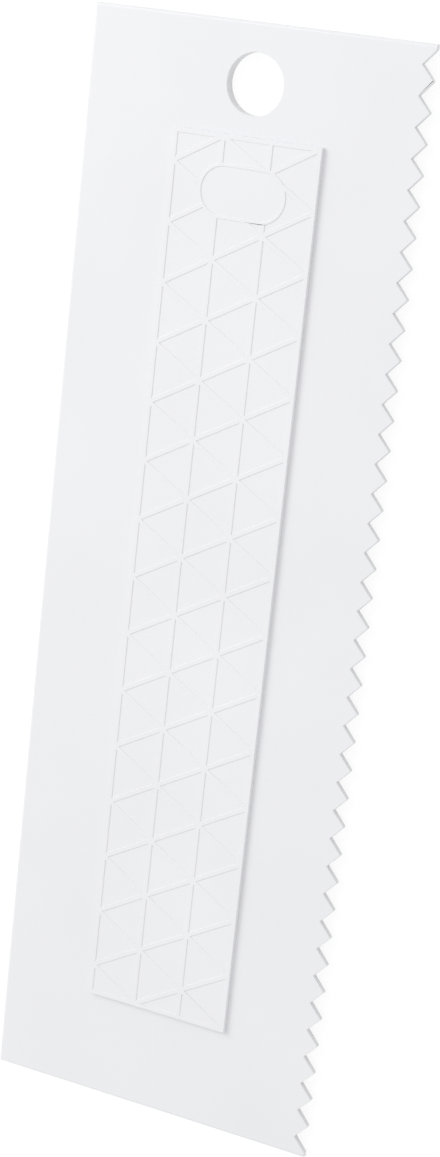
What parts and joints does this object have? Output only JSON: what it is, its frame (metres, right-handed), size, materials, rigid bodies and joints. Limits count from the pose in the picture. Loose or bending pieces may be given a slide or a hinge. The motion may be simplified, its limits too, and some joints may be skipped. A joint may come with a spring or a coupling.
{
  "type": "icing smoother",
  "caption": "Flat rectangular icing smoother with a straight edge, a toothed comb edge, a round hanging hole and a raised grip panel with a triangle lattice.",
  "frame": {"origin": "middle of the blade's flat back face, which lies on the table", "axes": "+Z out of the front face that carries the grip panel, +Y along the blade towards the hanging hole, +X across the blade towards the comb teeth"},
  "size_m": [0.075, 0.23, 0.0034],
  "materials": {
    "blade_plastic": "white moulded plastic, satin to gloss",
    "grip_plastic": "white moulded plastic, satin to gloss, with a low raised lattice"
  },
  "bodies": {
    "root": {"blade": "blade_plastic", "grip_panel": "grip_plastic"}
  },
  "joints": []
}
